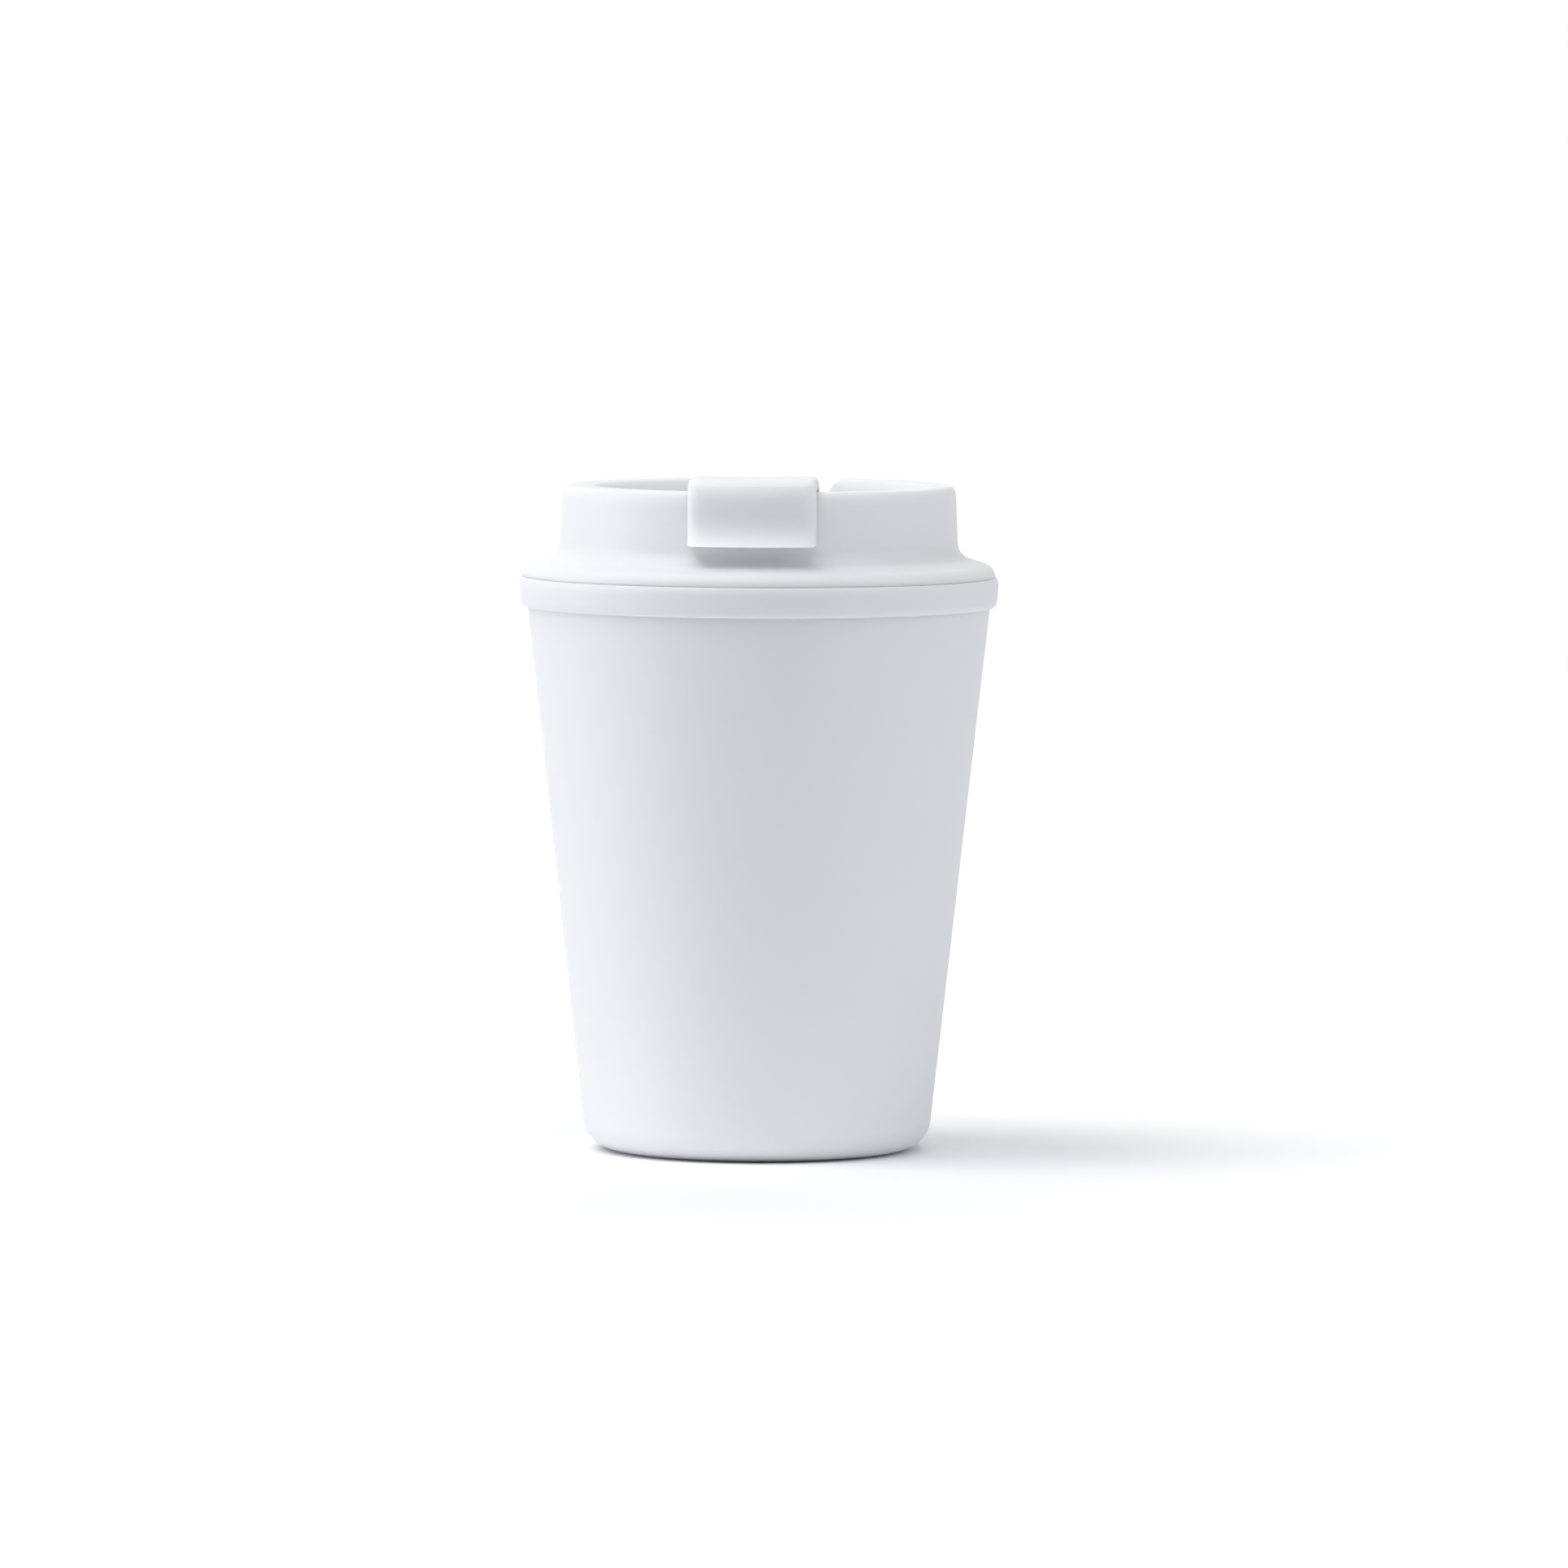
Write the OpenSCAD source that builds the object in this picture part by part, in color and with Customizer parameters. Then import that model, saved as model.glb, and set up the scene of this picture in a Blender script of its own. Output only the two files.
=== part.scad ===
// Double-wall drinking cup with a screw lid and a flip closure
// Origin at the centre of the foot, +Z up, the drinking side towards -Y, millimetres

/* [Cup] */
// Height from the table to the top of the collar
cup_h = 107.8; // [95:0.1:130]
// Outer diameter of the shell, its taper carried down to the table
foot_d = 64.1; // [56:0.1:72]
// Outer diameter of the shell at its top edge, under the collar
shell_top_d = 87.5; // [84:0.1:94]
// Radius that rounds the shell into its foot
foot_round = 5.8; // [3:0.1:8]
// Wall of the outer shell
shell_wall = 1.6; // [1.2:0.1:2]
// Floor of the outer shell
shell_floor = 1.8; // [1.4:0.1:2.6]
// Depth of the hollow under the foot
foot_recess = 0.8; // [0.4:0.1:1.4]
// Width of the ring that the cup stands on
foot_ring = 3.2; // [2:0.1:6]
// Wall of the inner cup
liner_wall = 1.5; // [1.2:0.1:1.8]
// Air space between the two walls
air_gap = 1.2; // [0.8:0.1:1.6]
// Air space between the two floors
floor_gap = 2.2; // [1:0.1:5]
// Radius inside the bottom of the inner cup
liner_round = 7; // [3:0.5:12]

/* [Collar] */
// Height of the collar
collar_h = 5.7; // [4:0.1:8]
// Wall of the collar outside the shell
collar_wall = 1.1; // [0.8:0.05:2]
// Top wall of the collar
collar_top = 1.9; // [1.4:0.1:2.6]
// Radius of the collar's lower edge
collar_round = 1.1; // [0.4:0.1:1.4]
// Amount that the collar narrows from its top to its lower edge
collar_draft = 0.4; // [0:0.05:0.6]
// Depth of the straight mouth above the tapered inside
mouth_h = 11; // [10.5:0.5:16]
// Air space beside the lower end of the straight mouth
mouth_space = 0.6; // [0.4:0.05:1.2]

/* [Thread] */
// Lugs around the mouth, and around the lid's skirt
lug_count = 3; // [2:1:4]
// Angle by which a lug is shorter than the gap beside it
lug_play = 10; // [6:1:16]
// Rise of the lugs in a full turn
lug_lead = 12; // [8:0.5:14]
// Width of a lug where it leaves its wall
lug_w = 1.7; // [1.4:0.05:2]
// Height of a lug
lug_h = 1.3; // [1:0.05:1.4]
// Depth of the mouth's lugs below the collar's top
lug_drop = 1; // [0.6:0.05:1.6]

/* [Lid] */
// Visible joint between the collar and the flange
seat_gap = 0.25; // [0.2:0.05:0.5]
// Height of the lid above the joint
lid_h = 16.9; // [15:0.1:22]
// Step in from the collar's edge to the flange's edge
flange_step = 0.7; // [0.3:0.05:1.2]
// Height of the flange's outer edge
flange_edge = 1.85; // [1.6:0.05:2.6]
// Rise of the flange from its edge to the drum
flange_rise = 2.05; // [1.4:0.05:2.5]
// Radius between the flange and the drum
drum_fillet = 3.1; // [1.5:0.1:3.4]
// Step in from the skirt to the drum
drum_step = 0.15; // [0:0.05:0.4]
// Amount that the drum narrows on each side up to the rim
drum_draft = 0.45; // [0.2:0.05:1]
// Radius of the rim's outer edge
rim_round = 1.5; // [0.8:0.1:2]
// Radius of the rim's inner edge
rim_inner_round = 0.7; // [0.4:0.1:1.4]
// Width of the rim
rim_w = 8; // [7:0.1:9]
// Depth of the hollow in the top
recess_h = 9.7; // [9.4:0.1:10.5]
// Wall of the lid
lid_wall = 1.6; // [1.2:0.05:1.8]
// Reach of the lid's skirt below the joint
skirt_h = 9; // [8.5:0.1:10]
// Width of the sealing ring
seal_w = 1.6; // [1.2:0.1:2]
// Depth of the groove that holds the sealing ring
seal_groove = 1; // [0.8:0.05:1.2]
// Diameter of the drinking hole
drink_d = 8; // [7:0.1:9]
// Diameter of the air hole
vent_d = 2; // [1:0.1:3]
// Distance from the lid's centre to the air hole
vent_y = 19; // [12:0.5:24]

/* [Closure] */
// Width of the closure
cap_w = 23.9; // [20:0.1:26]
// Thickness of the closure's strap
cap_t = 2.25; // [2:0.05:2.6]
// Height of the tab in front of the drum
tab_h = 12.45; // [10:0.05:13]
// Thickness of the tab at its thinnest
tab_t = 1.9; // [1.6:0.05:2.4]
// Amount that the tab's lower lip stands out
tab_flare = 2.25; // [1.6:0.05:2.4]
// Height over which the lip leans out
lip_h = 2.7; // [2.6:0.05:3]
// Radius along the tab's top edge
tab_round = 4; // [2:0.1:4]
// Radius of the tab's upright edges
tab_side_round = 1.6; // [0.8:0.1:2.2]
// Reach of the strap's high part behind its boss
bridge_back = 0.8; // [0.4:0.1:1.6]
// Length over which the strap drops towards its hinge
ramp_l = 6.5; // [6:0.1:7]
// Height of the hinge above the lid's deck
hinge_h = 3.8; // [3.5:0.05:4]
// Radius of the closure's hinge barrel
barrel_r = 2.6; // [2.4:0.05:2.8]
// Radius of the hinge's pins
pin_r = 1.6; // [1.2:0.05:1.8]
// Thickness of each hinge ear
ear_t = 2.4; // [1.8:0.1:3]
// Largest angle that the closure opens to
cap_open = 165; // [156:1:166]
// Radius of the boss that carries the stopper
boss_r = 2.6; // [2:0.1:3]
// Width of the stopper's flange outside the drinking hole
stopper_lip = 0.9; // [0.6:0.1:1.2]
// Thickness of the stopper's flange
stopper_t = 1.8; // [1.4:0.1:2.4]
// Reach of the stopper below the deck
stopper_reach = 0.5; // [0.2:0.1:1]
// Amount that the stopper's nose narrows on each side
stopper_draft = 0.7; // [0.6:0.05:1]

/* [Clearances] */
// Clearance between pieces that move past each other
move_gap = 0.3; // [0.2:0.05:0.4]
// Clearance between the closed tab and the drum
tab_gap = 0.2; // [0.15:0.05:0.4]
// Clearance of the hinge pins in their ears
pin_gap = 0.06; // [0.03:0.01:0.1]
// Clearance between pieces that are welded or pressed together
weld_gap = 0.05; // [0.02:0.01:0.1]

/* [Hidden] */

$fn = 96;
arc_step = 10;
cut = 1;
lug_sink = 0.5;
lug_slope = 0.4;
small_round = 0.4;
edge_round = 0.6;
edge_share = 0.85;
flange_round = 0.9;
notch_round = 2.6;
deck_round = 0.8;
strap_round = 3;
face_round = 7.5;
lip_round = 0.3;

shell_rise = cup_h - collar_top;
shell_slope = (shell_top_d - foot_d) / 2 / shell_rise;
wall_stack = shell_wall + air_gap + liner_wall;
floor_z = foot_recess + shell_floor;
liner_z = floor_z + floor_gap;
collar_z = cup_h - collar_h;
collar_r = shell_r(cup_h) + collar_wall;
mouth_z = cup_h - mouth_h;
mouth_r = shell_r(mouth_z) - shell_wall - mouth_space - liner_wall;

lug_angle = 180 / lug_count - lug_play;
lug_tilt = atan(lug_lead / (2 * PI * mouth_r));
mouth_lug_z = cup_h - lug_drop - lug_w / 2 - lug_lead * lug_angle / 720;
lid_lug_z = mouth_lug_z - lug_w - move_gap;

seat_z = cup_h + seat_gap;
flange_z = seat_z + flange_edge;
rim_z = seat_z + lid_h;
deck_z = rim_z - recess_h;
flange_r = collar_r - flange_step;
skirt_r = mouth_r - move_gap - lug_h;
skirt_z = seat_z - skirt_h;
drum_r = skirt_r - drum_step;
recess_r = drum_r - rim_w;
seal_r = (mouth_r + flange_r) / 2;

stopper_r = drink_d / 2 + stopper_lip;
stopper_z = deck_z + move_gap;
drink_y = recess_r - stopper_r - 2 * move_gap;

hinge_z = deck_z + hinge_h;
ear_x = cap_w / 2 + move_gap;
cap_under = rim_z + move_gap;
cap_z = cap_under + cap_t;
tab_z = cap_z - tab_h;
tab_inner_r = drum_r + tab_gap;
tab_r = tab_inner_r + tab_t;
tab_lip_r = tab_r + tab_flare;
ramp_y = boss_r + bridge_back - drink_y;
notch_w = cap_w + 2 * move_gap;
notch_lean = 180 - cap_open;
notch_reach = sqrt(pow(recess_r, 2) - pow(notch_w / 2, 2));
notch_z = hinge_z + notch_reach * tan(notch_lean) - (cap_z - hinge_z) / cos(notch_lean) - move_gap;

// Outer radius of the shell at a height
function shell_r(z) = foot_d / 2 + shell_slope * z;

// Points of one corner [x, y, radius] between its neighbours a and c
function corner(a, b, c) =
    b[2] == 0 ? [[b.x, b.y]] :
    let (
        p = [b.x, b.y],
        u = unit([a.x, a.y] - p),
        v = unit([c.x, c.y] - p),
        half = acos(u * v) / 2,
        centre = p + unit(u + v) * b[2] / sin(half),
        first = p + u * b[2] / tan(half) - centre,
        side = u.x * v.y - u.y * v.x > 0 ? -1 : 1,
        sweep = side * (180 - 2 * half),
        steps = max(2, ceil(abs(sweep) / arc_step)),
        start = atan2(first.y, first.x)
    )
    [for (i = [0:steps]) centre + b[2] * [cos(start + sweep * i / steps), sin(start + sweep * i / steps)]];

function unit(v) = v / norm(v);

// Outline through corners [x, y, radius]
function rounded(path) =
    let (n = len(path))
    [for (i = [0:n - 1]) each corner(path[(i + n - 1) % n], path[i], path[(i + 1) % n])];

// Ring of inclined lugs on a wall of radius root_r, outwards where side is 1, inwards where it is -1
module lugs(root_r, side, z) {
    root = lug_w / 2 + lug_slope * lug_sink;
    crest = lug_w / 2 - lug_slope * lug_h;
    section = [
        [-side * lug_sink, -root],
        [side * lug_h, -crest],
        [side * lug_h, crest],
        [-side * lug_sink, root]
    ];
    for (i = [0:lug_count - 1])
        translate([0, 0, z])
        rotate([0, 0, 90 + i * 360 / lug_count])
        rotate([lug_tilt, 0, 0])
        rotate_extrude(angle = lug_angle, start = -lug_angle / 2)
        translate([root_r, 0])
        polygon(section);
}

// Outer wall with its rounded foot, open at the top
module outer_shell() {
    ring_r = shell_r(0) - foot_round - foot_ring;
    color("#f4f5f8")
    rotate_extrude()
    polygon(rounded([
        [0, foot_recess, 0],
        [ring_r, foot_recess, foot_recess / 2],
        [ring_r + foot_recess, 0, foot_recess / 2],
        [shell_r(0), 0, foot_round],
        [shell_r(shell_rise), shell_rise, 0],
        [shell_r(shell_rise) - shell_wall, shell_rise, 0],
        [shell_r(floor_z) - shell_wall, floor_z, foot_round - shell_wall],
        [0, floor_z, 0]
    ]));
}

// Inner cup with the collar that is welded over the shell's top edge
module inner_cup() {
    lower_r = collar_r - collar_draft;
    lower_in = shell_r(collar_z) + weld_gap;
    color("#f6f7fa")
    union() {
        rotate_extrude()
        polygon(rounded([
            [0, liner_z, 0],
            [shell_r(liner_z) - wall_stack + liner_wall, liner_z, liner_round],
            [shell_r(mouth_z) - wall_stack + liner_wall, mouth_z, 0],
            [mouth_r + liner_wall, mouth_z + 2 * liner_wall, 0],
            [mouth_r + liner_wall, shell_rise, 0],
            [shell_r(shell_rise) + weld_gap, shell_rise, 0],
            [lower_in, collar_z, 0],
            [lower_r, collar_z, min(collar_round, edge_share * (lower_r - lower_in))],
            [collar_r, cup_h, edge_round],
            [mouth_r, cup_h, small_round],
            [mouth_r, mouth_z + liner_wall, 0],
            [shell_r(mouth_z) - wall_stack, mouth_z - liner_wall, 0],
            [shell_r(liner_z + liner_wall) - wall_stack, liner_z + liner_wall, liner_round - liner_wall],
            [0, liner_z + liner_wall, 0]
        ]));
        lugs(mouth_r, -1, mouth_lug_z);
    }
}

// Outer form of the lid, from the skirt to the rim and the recessed deck
module lid_form() {
    rotate_extrude()
    polygon(rounded([
        [0, skirt_z, 0],
        [skirt_r, skirt_z, small_round],
        [skirt_r, seat_z, 0],
        [flange_r, seat_z, 0],
        [flange_r - collar_draft, flange_z, flange_round],
        [drum_r, flange_z + flange_rise, drum_fillet],
        [drum_r - drum_draft, rim_z, rim_round],
        [recess_r, rim_z, rim_inner_round],
        [recess_r, deck_z, deck_round],
        [0, deck_z, 0]
    ]));
}

// Space inside the lid's wall, closed under the rear notch
module lid_hollow() {
    difference() {
        rotate_extrude()
        polygon(rounded([
            [0, skirt_z - cut, 0],
            [skirt_r - lid_wall, skirt_z - cut, 0],
            [skirt_r - lid_wall, flange_z, 0],
            [drum_r - drum_draft - lid_wall, rim_z - lid_wall, small_round],
            [recess_r + lid_wall, rim_z - lid_wall, small_round],
            [recess_r + lid_wall, deck_z - lid_wall, 0],
            [0, deck_z - lid_wall, 0]
        ]));
        translate([-notch_w / 2 - lid_wall, 0, notch_z - lid_wall])
        cube([notch_w + 2 * lid_wall, drum_r + cut, recess_h]);
    }
}

// Gap in the rear of the rim that takes the opened closure
module rear_notch() {
    half = notch_w / 2;
    depth = drum_r + cut - recess_r / 2;
    translate([0, drum_r + cut, 0])
    rotate([90, 0, 0])
    linear_extrude(depth)
    polygon(rounded([
        [-half, notch_z, small_round],
        [half, notch_z, small_round],
        [half, rim_z, notch_round],
        [half + notch_round, rim_z, 0],
        [half + notch_round, rim_z + cut, 0],
        [-half - notch_round, rim_z + cut, 0],
        [-half - notch_round, rim_z, 0],
        [-half, rim_z, notch_round]
    ]));
}

// One ear of the hinge, standing on the deck
module hinge_ear() {
    translate([ear_x, 0, 0])
    rotate([90, 0, 90])
    linear_extrude(ear_t)
    difference() {
        union() {
            translate([0, hinge_z])
            circle(barrel_r);
            translate([-barrel_r, deck_z - lid_wall / 2])
            square([2 * barrel_r, hinge_h + lid_wall / 2]);
        }
        translate([0, hinge_z])
        circle(pin_r + pin_gap);
    }
}

// Groove under the flange for the sealing ring
module seal_channel() {
    groove_w = seal_w + 2 * move_gap;
    translate([0, 0, seat_z])
    rotate_extrude()
    translate([seal_r - groove_w / 2, -cut])
    square([groove_w, seal_groove + cut]);
}

// Round hole through the deck
module deck_hole(d, y) {
    translate([0, y, deck_z - lid_wall - cut])
    cylinder(d = d, h = lid_wall + 2 * cut);
}

// Lid with its lugs, recessed deck, drinking hole, hinge ears and rear notch
module lid() {
    color("#f6f7fa")
    difference() {
        union() {
            difference() {
                lid_form();
                lid_hollow();
                rear_notch();
            }
            hinge_ear();
            mirror([1, 0, 0])
            hinge_ear();
            lugs(skirt_r, 1, lid_lug_z);
        }
        seal_channel();
        deck_hole(drink_d, -drink_y);
        deck_hole(vent_d, vent_y);
    }
}

// Sealing ring between the collar and the flange
module lid_gasket() {
    color("#e9ebef")
    translate([0, 0, cup_h])
    rotate_extrude()
    translate([seal_r - seal_w / 2, 0])
    square([seal_w, seal_groove + seat_gap]);
}

// Side outline of the strap: hinge barrel, low part, ramp and the part over the rim
module strap_side() {
    under_y = ramp_y - cap_t / 2;
    polygon(rounded([
        [0, hinge_z + cap_t / 2, 0],
        [ramp_y + ramp_l, hinge_z + cap_t / 2, strap_round],
        [ramp_y, cap_z, strap_round],
        [-tab_lip_r - cut, cap_z, 0],
        [-tab_lip_r - cut, cap_under, 0],
        [under_y, cap_under, strap_round / 2],
        [under_y + ramp_l, hinge_z - cap_t / 2, strap_round],
        [0, hinge_z - cap_t / 2, 0]
    ]));
    translate([0, hinge_z])
    circle(barrel_r);
}

// Plan of the closure, its front bowed like the drum and its upright edges rounded
module cap_plan() {
    half = cap_w / 2;
    bow_r = tab_lip_r + cut / 2;
    turn = asin((half - tab_side_round) / bow_r);
    side_y = (bow_r - half * sin(turn)) / cos(turn);
    polygon(rounded([
        [half, barrel_r + cut, 0],
        [-half, barrel_r + cut, 0],
        [-half, -side_y, tab_side_round],
        [0, -bow_r / cos(turn), bow_r],
        [half, -side_y, tab_side_round]
    ]));
}

// Outer limit of the tab: hollow down its face, with a lip below and a rounded top edge
module cap_face() {
    rotate_extrude()
    polygon(rounded([
        [0, tab_z, 0],
        [tab_lip_r, tab_z, lip_round],
        [tab_r, tab_z + lip_h, face_round],
        [tab_r, cap_z, tab_round],
        [0, cap_z, 0]
    ]));
}

// Tab in front of the drum, before its face is shaped
module tab_block() {
    back_y = sqrt(pow(tab_inner_r, 2) - pow(cap_w / 2, 2)) - cut;
    difference() {
        translate([-cap_w / 2, -tab_lip_r - cut, tab_z - cut])
        cube([cap_w, tab_lip_r + cut - back_y, tab_h + cut]);
        translate([0, 0, tab_z - 2 * cut])
        cylinder(r = tab_inner_r, h = cap_under - tab_z + 2 * cut);
    }
}

// Strap and tab in one piece, with the hinge pins and the boss for the stopper
module flip_cap() {
    boss_z = stopper_z + stopper_t / 2;
    pin_l = 2 * (ear_x + ear_t - move_gap);
    color("#f8f9fb")
    union() {
        intersection() {
            union() {
                translate([-cap_w / 2, 0, 0])
                rotate([90, 0, 90])
                linear_extrude(cap_w)
                strap_side();
                tab_block();
            }
            cap_face();
            translate([0, 0, tab_z - cut])
            linear_extrude(tab_h + 2 * cut)
            cap_plan();
        }
        translate([0, -drink_y, boss_z])
        cylinder(r = boss_r, h = cap_under + cap_t / 2 - boss_z);
        translate([-pin_l / 2, 0, hinge_z])
        rotate([0, 90, 0])
        cylinder(r = pin_r, h = pin_l);
    }
}

// Soft stopper pressed onto the closure's boss
module spout_plug() {
    nose_r = drink_d / 2 - move_gap;
    nose_z = deck_z - lid_wall - stopper_reach;
    socket_r = boss_r + weld_gap;
    color("#e9ebef")
    translate([0, -drink_y, 0])
    rotate_extrude()
    polygon(rounded([
        [0, nose_z, 0],
        [nose_r - stopper_draft, nose_z, small_round],
        [nose_r, stopper_z, 0],
        [stopper_r, stopper_z, small_round / 2],
        [stopper_r, stopper_z + stopper_t, small_round],
        [socket_r, stopper_z + stopper_t, 0],
        [socket_r, stopper_z + stopper_t / 2, 0],
        [0, stopper_z + stopper_t / 2, 0]
    ]));
}

outer_shell();
inner_cup();
lid();
lid_gasket();
flip_cap();
spout_plug();
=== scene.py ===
import math

import bmesh
import bpy
from mathutils import Matrix, Vector


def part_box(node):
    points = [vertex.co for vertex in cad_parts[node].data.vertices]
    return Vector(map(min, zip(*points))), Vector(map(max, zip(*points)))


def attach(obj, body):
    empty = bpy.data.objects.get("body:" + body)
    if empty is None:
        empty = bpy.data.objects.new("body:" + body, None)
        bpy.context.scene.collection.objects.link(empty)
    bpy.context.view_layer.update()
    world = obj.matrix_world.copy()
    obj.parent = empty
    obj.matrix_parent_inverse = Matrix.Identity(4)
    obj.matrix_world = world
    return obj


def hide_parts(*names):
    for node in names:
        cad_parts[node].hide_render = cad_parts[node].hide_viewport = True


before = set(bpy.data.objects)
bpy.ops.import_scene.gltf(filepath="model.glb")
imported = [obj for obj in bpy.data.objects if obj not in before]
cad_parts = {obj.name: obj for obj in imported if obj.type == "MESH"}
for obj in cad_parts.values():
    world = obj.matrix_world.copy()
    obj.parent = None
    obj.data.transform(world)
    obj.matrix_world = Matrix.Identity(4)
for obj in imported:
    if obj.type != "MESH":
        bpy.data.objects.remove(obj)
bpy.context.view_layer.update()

bl_info = {
    "name": "Double-wall coffee cup",
    "version": (1, 0, 0),
    "blender": (4, 5, 0),
    "location": "3D View > Sidebar > Coffee cup",
    "description": "Builds a double-wall cup with its lid and flip closure, and the studio around it",
    "category": "Add Mesh",
}

MM = 0.001
SHELL_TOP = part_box("outer_shell")[1]
INNER_LOW, INNER_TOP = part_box("inner_cup")
LID_LOW, LID_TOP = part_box("lid")
RING_LOW, RING_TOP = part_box("lid_gasket")
CLOSURE_LOW, CLOSURE_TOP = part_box("flip_cap")
STOPPER_LOW, STOPPER_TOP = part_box("spout_plug")
DRINK_Y = (STOPPER_LOW.y + STOPPER_TOP.y) / 2
ACROSS = Matrix.Rotation(math.pi / 2, 4, "Y")

# Steps round each curve
TURN_STEPS = 144
HOLE_STEPS = 48
BLOCK_STEPS = 24
LUG_STEPS = 20
FLOOR_STEPS = 96
BEND_STEPS = 10
CORNER_STEPS = 5
EDGE_STEPS = 3
SECTION_COLUMNS = 12
SECTION_ROUND_STEPS = 8
ARC_STEP = math.radians(9)

WHITE = (1, 1, 1, 1)

# Bevel profile that is an arc of a circle
ROUND_PROFILE = 0.5

# Angles from which an edge is shaded sharp, and from which it is softened
SHARP_ANGLE = math.radians(34)
SOFTEN_ANGLE = math.radians(50)

# Distance at which points are one, overreach of a cutter, and shares of a width that roundings may use
TINY = 1e-6
SPARE = 3 * MM
EAR_SHARE = 0.995
SIDE_SHARE = 0.9


def size(name, description, default):
    """Length property in metres"""
    return bpy.props.FloatProperty(
        name=name, description=description, default=default, min=0, precision=5,
        unit="LENGTH", subtype="DISTANCE")


def turn(name, description, default):
    """Angle property, given in degrees"""
    return bpy.props.FloatProperty(
        name=name, description=description, default=math.radians(default), unit="ROTATION", subtype="ANGLE")


def colour(name, description, default):
    """Colour property"""
    return bpy.props.FloatVectorProperty(
        name=name, description=description, default=default, size=3, min=0, max=1, subtype="COLOR")


def factor(name, description, default, top=1.0):
    """Plain number property"""
    return bpy.props.FloatProperty(name=name, description=description, default=default, min=0, max=top)


def point(name, description, default):
    """Place property in metres"""
    return bpy.props.FloatVectorProperty(
        name=name, description=description, default=default, unit="LENGTH", subtype="TRANSLATION")


class ShellSizes(bpy.types.PropertyGroup):
    foot_r: size("Foot radius", "Radius of the side, its taper carried down to the table", 32.05 * MM)
    foot_round: size("Foot rounding", "Radius that rounds the side into the foot", 5.8 * MM)
    foot_ring: size("Foot ring", "Width of the ring that the cup stands on", 3.2 * MM)
    foot_recess: size("Foot recess", "Depth of the hollow under the foot", 0.8 * MM)
    foot_gap: size("Foot gap", "Height of the narrow gap between the rounding and the table", 0.25 * MM)
    wall: size("Wall", "Wall of the outer shell", 1.6 * MM)
    floor: size("Floor", "Floor of the outer shell", 1.8 * MM)


class InnerCupSizes(bpy.types.PropertyGroup):
    wall: size("Wall", "Wall of the inner cup", 1.5 * MM)
    air_gap: size("Air gap", "Space between the two walls", 1.2 * MM)
    bottom_round: size("Bottom rounding", "Radius outside the bottom of the inner cup", 7 * MM)
    mouth_r: size("Mouth radius", "Radius of the straight mouth", 39.04 * MM)
    mouth_h: size("Mouth depth", "Depth of the straight mouth", 11 * MM)
    collar_h: size("Collar height", "Height of the collar outside the shell", 5.7 * MM)
    collar_draft: size("Collar draft", "Amount that the collar narrows downwards", 0.4 * MM)
    collar_round: size("Collar rounding", "Width of the rounding of the collar's lower edge", 1 * MM)
    collar_round_h: factor("Collar rounding height", "Height of that rounding, in widths", 1.9, 4)
    edge_round: size("Edge rounding", "Width of the rounding of the collar's upper edge", 0.55 * MM)
    edge_round_h: factor("Edge rounding height", "Height of that rounding, in widths", 2.7, 4)
    weld_gap: size("Weld gap", "Space between the collar and the shell", 0.05 * MM)


class LidSizes(bpy.types.PropertyGroup):
    skirt_h: size("Skirt height", "Reach of the skirt below the joint", 9 * MM)
    skirt_r: size("Skirt radius", "Radius of the skirt", 37.44 * MM)
    wall: size("Wall", "Wall of the lid", 1.6 * MM)
    flange_edge: size("Flange edge", "Height of the flange's outer edge", 1.75 * MM)
    flange_rise: size("Flange rise", "Rise of the flange from its edge to the drum", 2.15 * MM)
    flange_round: size("Flange rounding", "Radius of the flange's upper edge", 2.2 * MM)
    bead_w: size("Bead width", "Width of the bead along the flange's lower edge", 0.8 * MM)
    bead_gap: size("Bead gap", "Space between the bead and the collar", 0.02 * MM)
    bead_round: size("Bead rounding", "Radius of the flange's lower edge", 0.06 * MM)
    drum_fillet: size("Drum fillet", "Radius between the flange and the drum", 3.1 * MM)
    drum_step: size("Drum step", "Step in from the skirt to the drum", 0.15 * MM)
    drum_draft: size("Drum draft", "Amount that the drum narrows up to the rim", 0.45 * MM)
    rim_w: size("Rim width", "Width of the rim", 8 * MM)
    rim_round: size("Rim rounding", "Width of the rounding of the rim's outer edge", 1.15 * MM)
    rim_inner_round: size("Rim inner rounding", "Width of the rounding of the rim's inner edge", 2.2 * MM)
    rim_round_h: factor("Rim rounding height", "Height of those roundings, in widths", 2.3, 4)
    recess_h: size("Recess depth", "Depth of the hollow in the top", 9.7 * MM)
    deck_round: size("Deck rounding", "Radius between the hollow's wall and the deck", 0.8 * MM)
    groove_w: size("Groove width", "Width of the groove for the sealing ring", 2.2 * MM)
    groove_h: size("Groove depth", "Depth of the groove for the sealing ring", 1 * MM)
    drink_d: size("Drinking hole", "Diameter of the drinking hole", 8 * MM)
    vent_d: size("Air hole", "Diameter of the air hole", 2 * MM)
    vent_y: size("Air hole place", "Distance from the centre to the air hole", 19 * MM)
    notch_gap: size("Notch gap", "Space beside the opened closure in the rear notch", 0.3 * MM)
    notch_round: size("Notch rounding", "Radius of the rim's corners at the notch", 2.9 * MM)
    notch_z: size("Notch floor", "Height of the notch's floor", 117.13 * MM)
    ear_t: size("Ear thickness", "Thickness of each hinge ear", 2.4 * MM)
    edge_round: size("Edge rounding", "Radius that softens the notch, the ears and the holes", 0.35 * MM)


class RingSizes(bpy.types.PropertyGroup):
    width: size("Width", "Width of the sealing ring", 1.6 * MM)
    edge_round: size("Edge rounding", "Radius of the sealing ring's edges", 0.3 * MM)


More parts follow.
